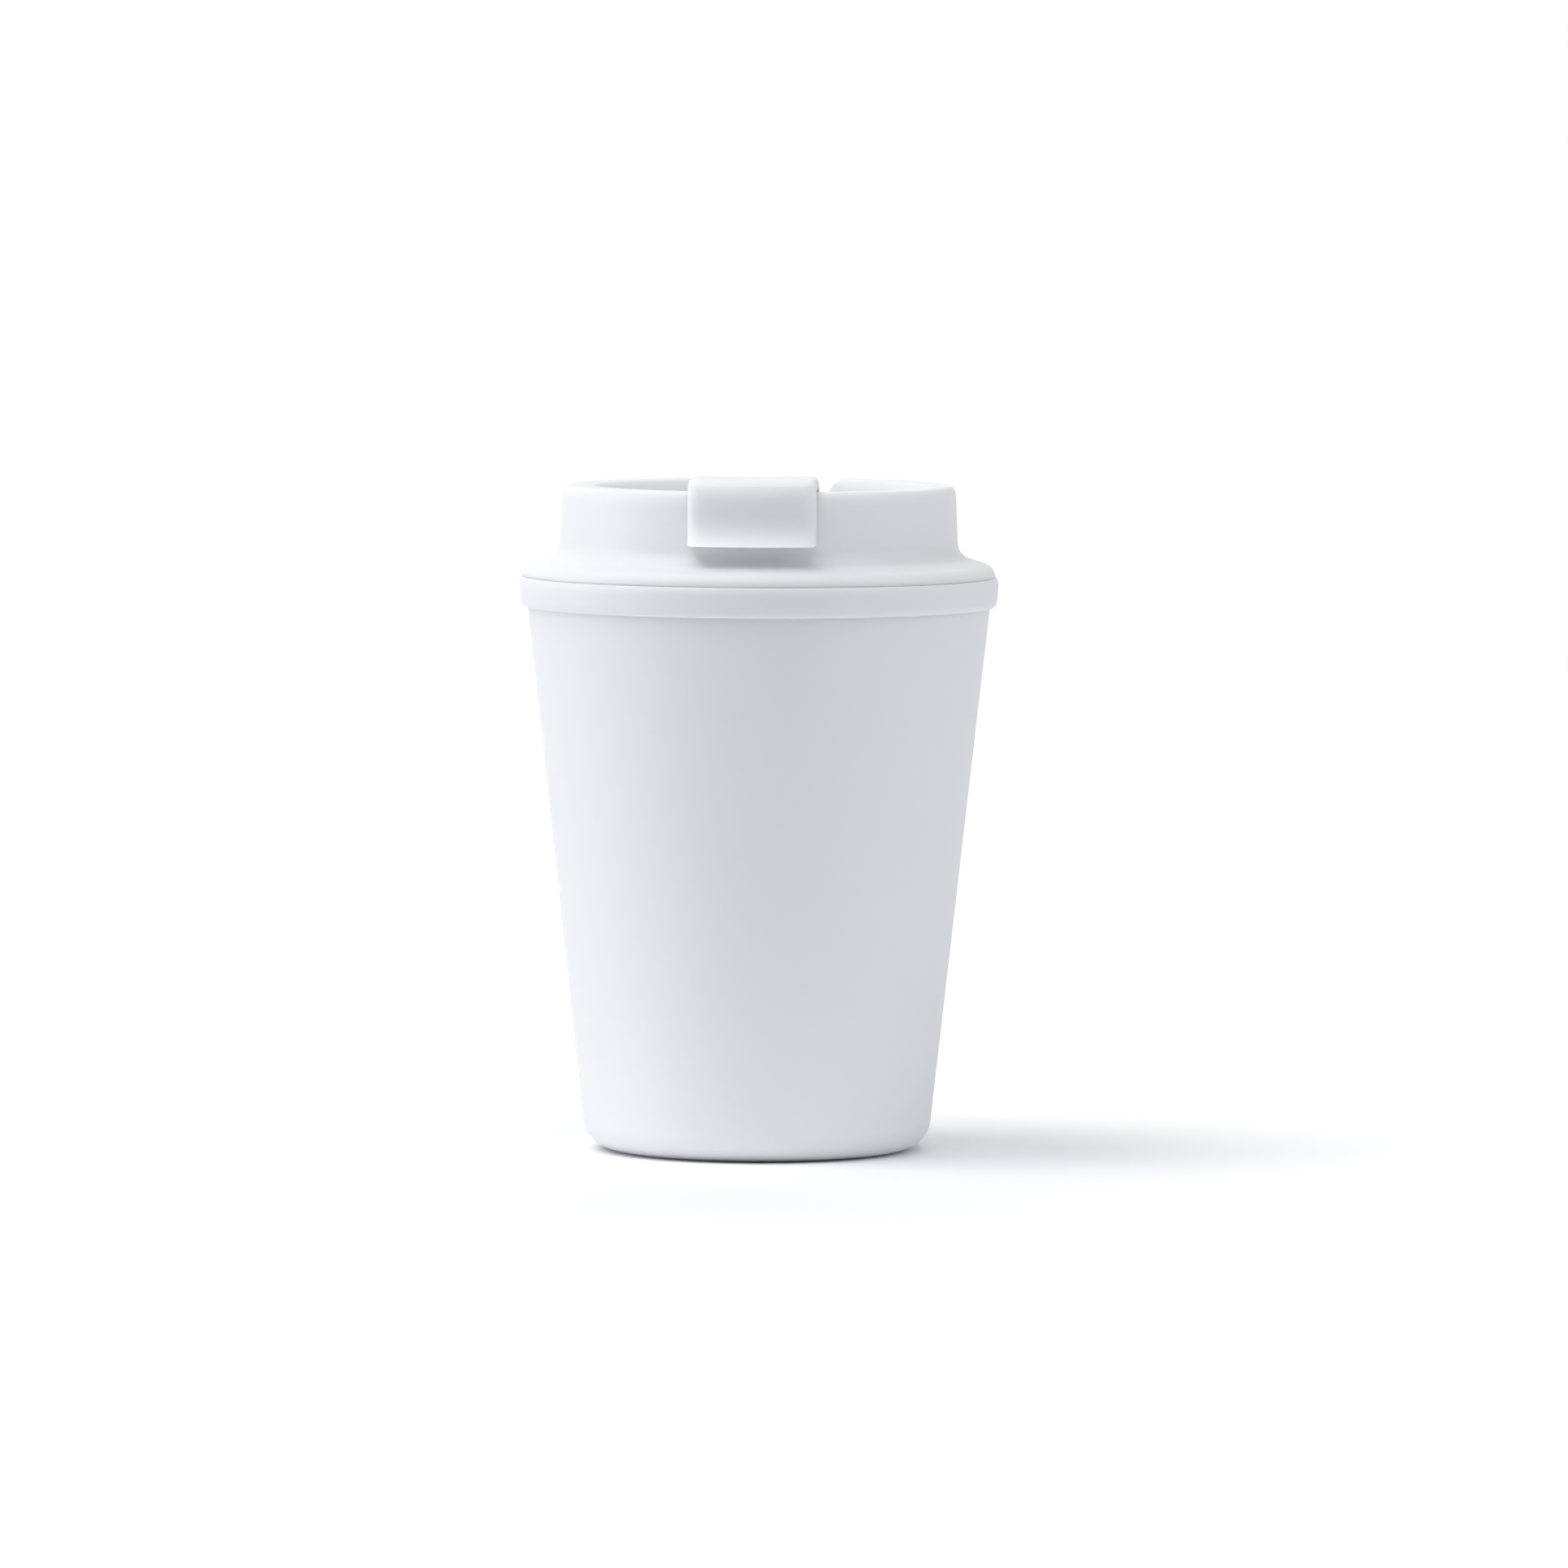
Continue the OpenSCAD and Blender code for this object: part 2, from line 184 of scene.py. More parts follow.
class LugSizes(bpy.types.PropertyGroup):
    count: bpy.props.IntProperty(
        name="Lugs", description="Lugs around the mouth, and around the skirt", default=3, min=2, max=4)
    sweep: turn("Sweep", "Angle that each lug covers", 50)
    lead: size("Lead", "Rise of the lugs in a full turn", 12 * MM)
    width: size("Width", "Width of a lug where it leaves its wall", 1.7 * MM)
    height: size("Height", "Height of a lug", 1.3 * MM)
    flank: factor("Flank", "Slope of a lug's two flanks, as a share of its height", 0.4)
    root: size("Root", "Depth of a lug inside its wall", 0.5 * MM)
    drop: size("Drop", "Depth of the mouth's lugs below the collar's top", 1 * MM)
    gap: size("Gap", "Clearance between the two rings of lugs", 0.3 * MM)


class ClosureSizes(bpy.types.PropertyGroup):
    width: size("Width", "Width of the closure", 23.8 * MM)
    thickness: size("Thickness", "Thickness of the strap", 2.25 * MM)
    dish: size("Dish", "Amount that the top sinks in its middle", 0.18 * MM)
    hinge_h: size("Hinge height", "Height of the hinge above the deck", 3.8 * MM)
    barrel_r: size("Barrel radius", "Radius of the hinge barrel", 2.6 * MM)
    pin_r: size("Pin radius", "Radius of the hinge pins", 1.6 * MM)
    pin_gap: size("Pin gap", "Clearance of the pins in their ears", 0.06 * MM)
    ramp_start: size("Ramp start", "Distance from the hinge at which the strap starts to rise", 13.9 * MM)
    ramp_l: size("Ramp length", "Distance over which the strap rises", 6.5 * MM)
    ramp_round: size("Ramp rounding", "Radius of the strap's two bends", 3 * MM)
    tab_gap: size("Tab gap", "Space between the tab and the drum", 0.2 * MM)
    tab_t: size("Tab thickness", "Thickness of the tab at its thinnest", 1.9 * MM)
    edge_round: size("Front edge rounding", "Radius of the front edge, down to the crease", 4.6 * MM)
    crease_h: size("Crease depth", "Depth of the faint crease below the closure's top", 1.2 * MM)
    crease_turn: turn("Crease turn", "Angle by which the face turns at the crease", 17)
    brow_round: size("Brow rounding", "Radius from the crease into the tab's face", 5 * MM)
    waist_lean: turn("Waist lean", "Angle by which the face leans in below the brow", 5)
    waist: size("Waist", "Amount that the tab's face draws in above the lip", 0.65 * MM)
    lip_out: size("Lip", "Amount that the tab's lower lip stands out", 2.2 * MM)
    lip_h: size("Lip height", "Height of the bend from which the lip leans out", 2.8 * MM)
    face_round: size("Face rounding", "Radius of the hollow down the tab's face", 6 * MM)
    lip_round: size("Lip rounding", "Radius of the lip's lower edge", 0.3 * MM)
    side_round: size("Side rounding", "Depth of the rounding of the tab's upright edges", 1.4 * MM)
    side_round_w: size("Side rounding width", "Width of that rounding", 2.5 * MM)
    top_side_round: size("Top side rounding", "Depth of the rounding of the strap's upper edges", 1.7 * MM)
    top_side_round_w: size("Top side rounding width", "Width of that rounding", 1.3 * MM)
    under_round: size("Under rounding", "Radius of the closure's inner edges", 0.3 * MM)
    corner_round: size("Corner rounding", "Radius of the tab's two lower corners", 0.7 * MM)
    row_step: size("Row step", "Least height between the inner ends of the closure's rows", 0.08 * MM)
    boss_r: size("Boss radius", "Radius of the boss that carries the stopper", 2.6 * MM)


class StopperSizes(bpy.types.PropertyGroup):
    flange_t: size("Flange thickness", "Thickness of the stopper's flange", 1.8 * MM)
    nose_r: size("Nose radius", "Radius of the nose at the hole's edge", 3.7 * MM)
    nose_draft: size("Nose draft", "Amount that the nose narrows on each side", 0.7 * MM)
    gap: size("Gap", "Space between the flange and the deck", 0.3 * MM)
    socket_gap: size("Socket gap", "Space between the stopper and the boss", 0.05 * MM)
    edge_round: size("Edge rounding", "Radius of the stopper's edges", 0.4 * MM)


class Finish(bpy.types.PropertyGroup):
    body_white: colour("Body white", "Colour of the shell and the inner cup", (0.80, 0.805, 0.828))
    body_roughness: factor("Body roughness", "Roughness of the shell and the inner cup", 0.55)
    body_depth: size("Body light depth", "Distance that light spreads inside them", 1.2 * MM)
    lid_white: colour("Lid white", "Colour of the lid and the closure", (0.81, 0.815, 0.838))
    lid_roughness: factor("Lid roughness", "Roughness of the lid and the closure", 0.5)
    lid_depth: size("Lid light depth", "Distance that light spreads inside them", 1.2 * MM)
    silicone_white: colour("Silicone white", "Colour of the silicone pieces", (0.80, 0.805, 0.824))
    silicone_roughness: factor("Silicone roughness", "Roughness of the silicone pieces", 0.42)
    silicone_depth: size("Silicone light depth", "Distance that light spreads inside them", 1.8 * MM)
    refraction: factor("Refraction", "Index of refraction of plastic and silicone", 1.49, 3)
    shine: factor("Shine", "Level of the plain reflection", 0.35)
    cloud: factor("Cloudiness", "Patches of faint cloudiness in a metre", 45, 1000)
    cloud_detail: factor("Cloud detail", "Finer layers within those patches", 3, 15)
    cloud_tone: factor("Cloud tone", "Share of the white that the darkest patches keep", 0.985)
    gloss_change: factor("Gloss change", "Amount that the roughness varies with the patches", 0.03)
    grain: size("Grain", "Size of the moulded grain", 0.35 * MM)
    grain_detail: factor("Grain detail", "Finer layers within the grain", 2, 15)
    grain_roughness: factor("Grain roughness", "Strength of those finer layers", 0.6)
    grain_depth: size("Grain depth", "Depth of the moulded grain", 0.006 * MM)


class StageSettings(bpy.types.PropertyGroup):
    camera_away: size("Camera distance", "Distance of the camera in front of the cup", 2205.8 * MM)
    camera_up: size("Camera height", "Height of the camera above the table", 215.66 * MM)
    camera_aside: size("Camera offset", "Distance of the camera to the right of the axis", 4.83 * MM)
    camera_pitch: turn("Camera pitch", "Angle by which the camera looks down", 3.81)
    camera_turn: turn("Camera turn", "Angle by which the camera stands round the cup", 2.03)
    camera_roll: turn("Camera roll", "Angle by which the camera leans", 0.24)
    lens: factor("Lens", "Focal length in millimetres", 270.2, 1000)
    floor_r: size("Floor radius", "Radius of the round floor", 1.6)
    floor_white: colour("Floor", "Colour of the floor", (0.945, 0.95, 0.972))
    floor_roughness: factor("Floor roughness", "Roughness of the floor", 0.9)
    floor_glow: factor("Floor glow", "White that the floor adds where the camera sees it", 0.11)
    # Painted shade: round this place the floor's glow is held back, which paints a faint shade on the floor
    # in front of the cup
    painted_shade_place: point(
        "Shade place", "Place in front of the cup that keeps its faint shade", (15 * MM, -70 * MM, 0))
    painted_shade_r: size("Shade radius", "Radius within which the floor doesn't glow", 40 * MM)
    painted_shade_end_r: size("Shade end radius", "Radius from which the floor glows fully", 130 * MM)
    # Painted light: round this place the floor glows for all rays but the camera's, and so lights the foot's
    # front though it is no lamp
    painted_foot_light: factor("Foot light", "Extra white that the floor throws at the foot's front", 0.2)
    painted_foot_light_place: point(
        "Foot light place", "Middle of the place that throws that light", (-12 * MM, -62 * MM, 0))
    painted_foot_light_r: size("Foot light radius", "Radius within which the floor throws all of it", 25 * MM)
    painted_foot_light_end_r: size("Foot light end radius", "Radius from which the floor throws none of it", 75 * MM)
    painted_foot_light_edge: size("Foot light edge", "Distance from the foot over which that light sets in", 4 * MM)
    world: factor("Surrounding light", "Strength of the light from all round", 0, 100)


class CupSettings(bpy.types.PropertyGroup):
    shell: bpy.props.PointerProperty(type=ShellSizes)
    inner: bpy.props.PointerProperty(type=InnerCupSizes)
    lid: bpy.props.PointerProperty(type=LidSizes)
    ring: bpy.props.PointerProperty(type=RingSizes)
    lugs: bpy.props.PointerProperty(type=LugSizes)
    closure: bpy.props.PointerProperty(type=ClosureSizes)
    stopper: bpy.props.PointerProperty(type=StopperSizes)
    finish: bpy.props.PointerProperty(type=Finish)
    stage: bpy.props.PointerProperty(type=StageSettings)


def rounded_face(bm, corners):
    """Flat face in the XZ plane through corners (x, z, rounding, height)

    Each corner is rounded by an arc that reaches as far across as its rounding, and height times as
    far up. Where height is left out, the arc is part of a circle.
    """
    verts = [bm.verts.new((corner[0], 0, corner[1])) for corner in corners]
    bm.faces.new(verts)
    count = len(corners)
    for i, corner in enumerate(corners):
        rounding, *height = corner[2:]
        if rounding == 0:
            continue
        tall = height[0] if height else 1
        near = [corners[i - 1], corners[i], corners[(i + 1) % count]]
        before, here, after = [Vector((each[0], each[1] / tall)) for each in near]
        half = (before - here).angle(after - here) / 2
        bmesh.ops.scale(bm, vec=(1, 1, 1 / tall), verts=bm.verts)
        bmesh.ops.bevel(
            bm, geom=[verts[i]], offset=rounding / math.tan(half),
            segments=max(EDGE_STEPS, round((math.pi - 2 * half) / ARC_STEP)),
            profile=ROUND_PROFILE, affect="VERTICES", material=-1)
        bmesh.ops.scale(bm, vec=(1, 1, tall), verts=bm.verts)


def turned(corners, steps=TURN_STEPS):
    """Closed ring or disc of revolution about Z, its section through corners (radius, height, rounding)"""
    bm = bmesh.new()
    rounded_face(bm, corners)
    bmesh.ops.delete(bm, geom=bm.faces[:], context="FACES_ONLY")
    on_axis = [edge for edge in bm.edges if all(abs(v.co.x) < TINY for v in edge.verts)]
    bmesh.ops.delete(bm, geom=on_axis, context="EDGES")
    bmesh.ops.spin(
        bm, geom=bm.verts[:] + bm.edges[:], cent=(0, 0, 0), axis=(0, 0, 1), dvec=(0, 0, 0),
        angle=math.tau, steps=steps, use_merge=True)
    bmesh.ops.remove_doubles(bm, verts=bm.verts, dist=TINY)
    bmesh.ops.recalc_face_normals(bm, faces=bm.faces)
    return bm


def swept(corners, start, sweep, steps):
    """Sector of a ring about Z with closed ends, from the angle start"""
    bm = bmesh.new()
    rounded_face(bm, corners)
    bmesh.ops.rotate(bm, cent=(0, 0, 0), matrix=Matrix.Rotation(start, 3, "Z"), verts=bm.verts)
    bmesh.ops.spin(
        bm, geom=bm.verts[:] + bm.edges[:] + bm.faces[:], cent=(0, 0, 0), axis=(0, 0, 1),
        dvec=(0, 0, 0), angle=sweep, steps=steps, use_merge=False)
    bmesh.ops.recalc_face_normals(bm, faces=bm.faces)
    return bm


def drawn_out(corners, length, turn_to, origin):
    """Flat shape in the XZ plane drawn out by length along Y, then turned and set in place"""
    bm = bmesh.new()
    rounded_face(bm, corners)
    moved = bmesh.ops.extrude_face_region(bm, geom=bm.faces[:])["geom"]
    bmesh.ops.translate(bm, vec=(0, length, 0), verts=[v for v in moved if isinstance(v, bmesh.types.BMVert)])
    bmesh.ops.transform(bm, matrix=Matrix.Translation(origin) @ turn_to, verts=bm.verts)
    bmesh.ops.recalc_face_normals(bm, faces=bm.faces)
    return bm


def rod(radius, length, centre, turn_to=Matrix.Identity(4), edge=0.0):
    """Closed cylinder about Z, its rims softened by edge, then turned and set in place"""
    bm = bmesh.new()
    bmesh.ops.create_cone(
        bm, cap_ends=True, cap_tris=False, segments=HOLE_STEPS, radius1=radius, radius2=radius, depth=length)
    if edge:
        rims = [e for e in bm.edges if abs(e.verts[0].co.z - e.verts[1].co.z) < TINY]
        bmesh.ops.bevel(
            bm, geom=rims, offset=edge, segments=EDGE_STEPS, profile=ROUND_PROFILE,
            affect="EDGES", material=-1)
    bmesh.ops.transform(bm, matrix=Matrix.Translation(centre) @ turn_to, verts=bm.verts)
    return bm


def shape(bm, name):
    """Object with the mesh of bm, at the origin"""
    mesh = bpy.data.meshes.new(name)
    bm.to_mesh(mesh)
    bm.free()
    made = bpy.data.objects.new(name, mesh)
    bpy.context.scene.collection.objects.link(made)
    return made


def combine(piece, operation, tools):
    """Joins each tool to piece, or cuts each out of it"""
    for bm in tools:
        tool = shape(bm, "tool")
        change = piece.modifiers.new("change", "BOOLEAN")
        change.operation = operation
        change.solver = "EXACT"
        change.object = tool
        bpy.context.view_layer.objects.active = piece
        bpy.ops.object.modifier_apply(modifier=change.name)
        bpy.data.objects.remove(tool)


def complete(piece, body, node, material):
    """Smooth shading, finish, body and CAD node of a piece"""
    mesh = piece.data
    mesh.shade_smooth()
    mesh.set_sharp_from_angle(angle=SHARP_ANGLE)
    even = piece.modifiers.new("Even shading", "WEIGHTED_NORMAL")
    even.keep_sharp = True
    mesh.materials.clear()
    mesh.materials.append(material)
    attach(piece, body)
    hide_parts(node)


def lug_sector(root_r, side, z, number, lugs):
    """One inclined lug on a wall of radius root_r, outwards where side is 1, inwards where it is -1"""
    root = lugs.width / 2 + lugs.flank * lugs.root
    crest = lugs.width / 2 - lugs.flank * lugs.height
    inside = root_r - side * lugs.root
    outside = root_r + side * lugs.height
    bm = swept([
        (inside, -root, 0),
        (outside, -crest, 0),
        (outside, crest, 0),
        (inside, root, 0),
    ], -lugs.sweep / 2, lugs.sweep, LUG_STEPS)
    tilt = math.atan(lugs.lead / (math.tau * root_r))
    around = Matrix.Rotation(math.pi / 2 + number * math.tau / lugs.count, 4, "Z")
    place = Matrix.Translation((0, 0, z)) @ around @ Matrix.Rotation(tilt, 4, "X")
    bmesh.ops.transform(bm, matrix=place, verts=bm.verts)
    return bm


def mouth_lug_z(lugs):
    """Height of the middle of the mouth's lugs"""
    half_rise = lugs.lead * lugs.sweep / math.tau / 2
    return INNER_TOP.z - lugs.drop - lugs.width / 2 - half_rise


def fill(node, values):
    """Values of a node's sockets, by their names"""
    for name, value in values.items():
        node.inputs[name].default_value = value


def moulded_finish(name, finish, kind):
    """Matte moulding that light sinks into, with a fine grain and faint clouds in its colour and gloss

    The kind, body, lid or silicone, picks its colour, roughness and light depth from the finish.
    """
    white = getattr(finish, f"{kind}_white")
    roughness = getattr(finish, f"{kind}_roughness")
    material = bpy.data.materials.new(name)
    material.use_nodes = True
    nodes = material.node_tree.nodes
    links = material.node_tree.links
    shader = nodes["Principled BSDF"]
    fill(shader, {
        "IOR": finish.refraction,
        "Specular IOR Level": finish.shine,
        "Subsurface Weight": 1,
        "Subsurface Radius": (1, 1, 1),
        "Subsurface Scale": getattr(finish, f"{kind}_depth"),
    })

    place = nodes.new("ShaderNodeTexCoord")
    cloud = nodes.new("ShaderNodeTexNoise")
    fill(cloud, {"Scale": finish.cloud, "Detail": finish.cloud_detail})
    tone = nodes.new("ShaderNodeMix")
    tone.data_type = "RGBA"
    fill(tone, {"A": (*[part * finish.cloud_tone for part in white], 1), "B": (*white, 1)})
    gloss = nodes.new("ShaderNodeMapRange")
    fill(gloss, {"To Min": roughness - finish.gloss_change, "To Max": roughness + finish.gloss_change})

    grain = nodes.new("ShaderNodeTexNoise")
    fill(grain, {
        "Scale": 1 / finish.grain,
        "Detail": finish.grain_detail,
        "Roughness": finish.grain_roughness,
    })
    bump = nodes.new("ShaderNodeBump")
    fill(bump, {"Strength": 1, "Distance": finish.grain_depth})

    for texture in (cloud, grain):
        links.new(place.outputs["Object"], texture.inputs["Vector"])
    links.new(cloud.outputs["Fac"], tone.inputs["Factor"])
    links.new(tone.outputs["Result"], shader.inputs["Base Color"])
    links.new(cloud.outputs["Fac"], gloss.inputs["Value"])
    links.new(gloss.outputs["Result"], shader.inputs["Roughness"])
    links.new(grain.outputs["Fac"], bump.inputs["Height"])
    links.new(bump.outputs["Normal"], shader.inputs["Normal"])
    return material


class COFFEECUP_OT_outer_shell(bpy.types.Operator):
    """Tapered outer shell with its rounded foot"""

    bl_idname = "coffee_cup.outer_shell"
    bl_label = "Outer shell"

    def execute(self, context):
        cup = context.scene.coffee_cup
        sizes = cup.shell
        top_r, top_z = SHELL_TOP.x, SHELL_TOP.z
        slope = (top_r - sizes.foot_r) / top_z
        ring_r = sizes.foot_r - sizes.foot_round - sizes.foot_ring
        floor_z = sizes.foot_recess + sizes.floor
        soft = sizes.foot_recess / 2
        piece = shape(turned([
            (0, sizes.foot_recess, 0),
            (ring_r, sizes.foot_recess, soft),
            (ring_r + sizes.foot_recess, 0, soft),
            (ring_r + sizes.foot_ring, 0, 0),
            (ring_r + sizes.foot_ring, sizes.foot_gap, 0),
            (sizes.foot_r + slope * sizes.foot_gap, sizes.foot_gap, sizes.foot_round),
            (top_r, top_z, 0),
            (top_r - sizes.wall, top_z, 0),
            (sizes.foot_r + slope * floor_z - sizes.wall, floor_z, sizes.foot_round - sizes.wall),
            (0, floor_z, 0),
        ]), "outer_shell_moulding")
        plastic = moulded_finish("matte_body_plastic", cup.finish, "body")
        complete(piece, "cup", "outer_shell", plastic)
        return {"FINISHED"}


class COFFEECUP_OT_inner_cup(bpy.types.Operator):
    """Inner cup with the collar that covers the shell's top edge, and the lugs in its mouth"""

    bl_idname = "coffee_cup.inner_cup"
    bl_label = "Inner cup"

    def execute(self, context):
        cup = context.scene.coffee_cup
        sizes, shell, lugs = cup.inner, cup.shell, cup.lugs
        slope = (SHELL_TOP.x - shell.foot_r) / SHELL_TOP.z
        collar_r, top_z = INNER_TOP.x, INNER_TOP.z
        inset = shell.wall + sizes.air_gap
        low_z, mouth_z = INNER_LOW.z, top_z - sizes.mouth_h
        collar_z = top_z - sizes.collar_h
        side = [shell.foot_r + slope * z - inset for z in (low_z, mouth_z)]
        piece = shape(turned([
            (0, low_z, 0),
            (side[0], low_z, sizes.bottom_round),
            (side[1], mouth_z, 0),
            (sizes.mouth_r + sizes.wall, mouth_z + 2 * sizes.wall, 0),
            (sizes.mouth_r + sizes.wall, SHELL_TOP.z, 0),
            (SHELL_TOP.x + sizes.weld_gap, SHELL_TOP.z, 0),
            (shell.foot_r + slope * collar_z + sizes.weld_gap, collar_z, 0),
            (collar_r - sizes.collar_draft, collar_z, sizes.collar_round, sizes.collar_round_h),
            (collar_r, top_z, sizes.edge_round, sizes.edge_round_h),
            (sizes.mouth_r, top_z, sizes.edge_round),
            (sizes.mouth_r, mouth_z + sizes.wall, 0),
            (side[1] - sizes.wall, mouth_z - sizes.wall, 0),
            (side[0] + slope * sizes.wall - sizes.wall, low_z + sizes.wall, sizes.bottom_round - sizes.wall),
            (0, low_z + sizes.wall, 0),
        ]), "inner_cup_moulding")
        combine(piece, "UNION", [
            lug_sector(sizes.mouth_r, -1, mouth_lug_z(lugs), i, lugs) for i in range(lugs.count)])
        plastic = moulded_finish("matte_collar_plastic", cup.finish, "body")
        complete(piece, "cup", "inner_cup", plastic)
        return {"FINISHED"}


class COFFEECUP_OT_lid(bpy.types.Operator):
    """Lid with its flange, drum, rim, recessed deck, holes, hinge ears, rear notch and lugs"""

    bl_idname = "coffee_cup.lid"
    bl_label = "Lid"

    def execute(self, context):
        cup = context.scene.coffee_cup
        sizes, ring, lugs, closure = cup.lid, cup.ring, cup.lugs, cup.closure
        wall = sizes.wall
        skirt_z, rim_z, flange_r = LID_LOW.z, LID_TOP.z, LID_TOP.x
        seat_z = skirt_z + sizes.skirt_h
        bead_z = INNER_TOP.z + sizes.bead_gap
        flange_z = seat_z + sizes.flange_edge
        drum_r = sizes.skirt_r - sizes.drum_step
        rim_r = drum_r - sizes.drum_draft
        recess_r = drum_r - sizes.rim_w
        deck_z = rim_z - sizes.recess_h
        seal_r = RING_TOP.x - ring.width / 2
        groove = (seal_r - sizes.groove_w / 2, seal_r + sizes.groove_w / 2)
        soft = sizes.edge_round
        collar_draft = cup.inner.collar_draft
        piece = shape(turned([
            (0, deck_z, 0),
            (recess_r, deck_z, sizes.deck_round),
            (recess_r, rim_z, sizes.rim_inner_round, sizes.rim_round_h),
            (rim_r, rim_z, sizes.rim_round, sizes.rim_round_h),
            (drum_r, flange_z + sizes.flange_rise, sizes.drum_fillet),
            (flange_r - collar_draft, flange_z, sizes.flange_round),
            (flange_r, bead_z, sizes.bead_round),
            (flange_r - sizes.bead_w, bead_z, 0),
            (flange_r - sizes.bead_w, seat_z, 0),
            (groove[1], seat_z, 0),
            (groove[1], seat_z + sizes.groove_h, 0),
            (groove[0], seat_z + sizes.groove_h, 0),
            (groove[0], seat_z, 0),
            (sizes.skirt_r, seat_z, 0),
            (sizes.skirt_r, skirt_z, soft),
            (sizes.skirt_r - wall, skirt_z, soft),
            (sizes.skirt_r - wall, flange_z, 0),
            (rim_r - wall, rim_z - wall, soft),
            (recess_r + wall, rim_z - wall, soft),
            (recess_r + wall, deck_z - wall, soft),
            (0, deck_z - wall, 0),
        ]), "lid_moulding")

        hinge_z = deck_z + closure.hinge_h
        notch_half = closure.width / 2 + sizes.notch_gap
        block_half = math.asin((notch_half + wall) / (recess_r + wall))
        block = swept([
            (recess_r + wall / 2, sizes.notch_z - wall, 0),
            (rim_r - wall / 2, sizes.notch_z - wall, 0),
            (rim_r - wall / 2, rim_z - wall / 2, 0),
            (recess_r + wall / 2, rim_z - wall / 2, 0),
        ], math.pi / 2 - block_half, 2 * block_half, BLOCK_STEPS)
        ears = [self.ear(side, deck_z - wall / 2, hinge_z, sizes, closure) for side in (-1, 1)]
        lug_z = mouth_lug_z(lugs) - lugs.width - lugs.gap
        lug_ring = [lug_sector(sizes.skirt_r, 1, lug_z, i, lugs) for i in range(lugs.count)]
        combine(piece, "UNION", [block, *ears, *lug_ring])

        mid_deck = deck_z - wall / 2
        through = wall + SPARE
        across_ears = 2 * (notch_half + sizes.ear_t + SPARE)
        combine(piece, "DIFFERENCE", [
            self.notch(notch_half, rim_z, drum_r, recess_r, sizes),
            rod(sizes.drink_d / 2, through, (0, DRINK_Y, mid_deck)),
            rod(sizes.vent_d / 2, through, (0, sizes.vent_y, mid_deck)),
            rod(closure.pin_r + closure.pin_gap, across_ears, (0, 0, hinge_z), ACROSS),
        ])
        soften = piece.modifiers.new("Softened edges", "BEVEL")
        soften.limit_method = "ANGLE"
        soften.angle_limit = SOFTEN_ANGLE
        soften.width = soft
        soften.segments = EDGE_STEPS
        soften.use_clamp_overlap = True
        plastic = moulded_finish("matte_lid_plastic", cup.finish, "lid")
        complete(piece, "lid", "lid", plastic)
        return {"FINISHED"}

    def ear(self, side, low_z, hinge_z, sizes, closure):
        """Round-topped ear that stands on the deck beside the closure"""
        start = closure.width / 2 + sizes.notch_gap
        reach = closure.barrel_r
        rounding = EAR_SHARE * reach
        near = start if side > 0 else -start - sizes.ear_t
        quarter = Matrix.Rotation(-math.pi / 2, 4, "Z")
        return drawn_out([
            (-reach, low_z, 0),
            (reach, low_z, 0),
            (reach, hinge_z + reach, rounding),
            (-reach, hinge_z + reach, rounding),
        ], sizes.ear_t, quarter, (near, 0, 0))

    def notch(self, half, rim_z, drum_r, recess_r, sizes):
        """Cutter of the gap in the rear of the rim"""
        soft = sizes.edge_round
        reach = drum_r + SPARE - recess_r / 2
        return drawn_out([
            (-half, sizes.notch_z, soft),
            (half, sizes.notch_z, soft),
            (half, rim_z, sizes.notch_round),
            (half + SPARE, rim_z, 0),
            (half + SPARE, rim_z + SPARE, 0),
            (-half - SPARE, rim_z + SPARE, 0),
            (-half - SPARE, rim_z, 0),
            (-half, rim_z, sizes.notch_round),
        ], reach, Matrix.Identity(4), (0, recess_r / 2, 0))


class COFFEECUP_OT_lid_gasket(bpy.types.Operator):
    """Silicone sealing ring between the collar and the flange"""

    bl_idname = "coffee_cup.lid_gasket"
    bl_label = "Sealing ring"

    def execute(self, context):
        cup = context.scene.coffee_cup
        outer, inner = RING_TOP.x, RING_TOP.x - cup.ring.width
        soft = cup.ring.edge_round
        piece = shape(turned([
            (inner, RING_LOW.z, soft),
            (outer, RING_LOW.z, soft),
            (outer, RING_TOP.z, soft),
            (inner, RING_TOP.z, soft),
        ]), "sealing_ring")
        silicone = moulded_finish("soft_ring_silicone", cup.finish, "silicone")
        complete(piece, "seal", "lid_gasket", silicone)
        return {"FINISHED"}


def bent_line(corners):
    """Points through corners (x, z, rounding), with the same number of steps round each

    A corner without a rounding is one point.
    """
    points = [Vector(corners[0][:2])]
    for before, corner, after in zip(corners, corners[1:], corners[2:]):
        here = Vector(corner[:2])
        if corner[2] == 0:
            points.append(here)
            continue
        u = (Vector(before[:2]) - here).normalized()
        v = (Vector(after[:2]) - here).normalized()
        half = u.angle(v) / 2
        centre = here + (u + v).normalized() * corner[2] / math.sin(half)
        first = here + u * corner[2] / math.tan(half) - centre
        side = -1 if u.x * v.y - u.y * v.x > 0 else 1
        sweep = side * (math.pi - 2 * half)
        turns = [Matrix.Rotation(sweep * i / BEND_STEPS, 2) for i in range(BEND_STEPS + 1)]
        points += [centre + each @ first for each in turns]
    points.append(Vector(corners[-1][:2]))
    return points


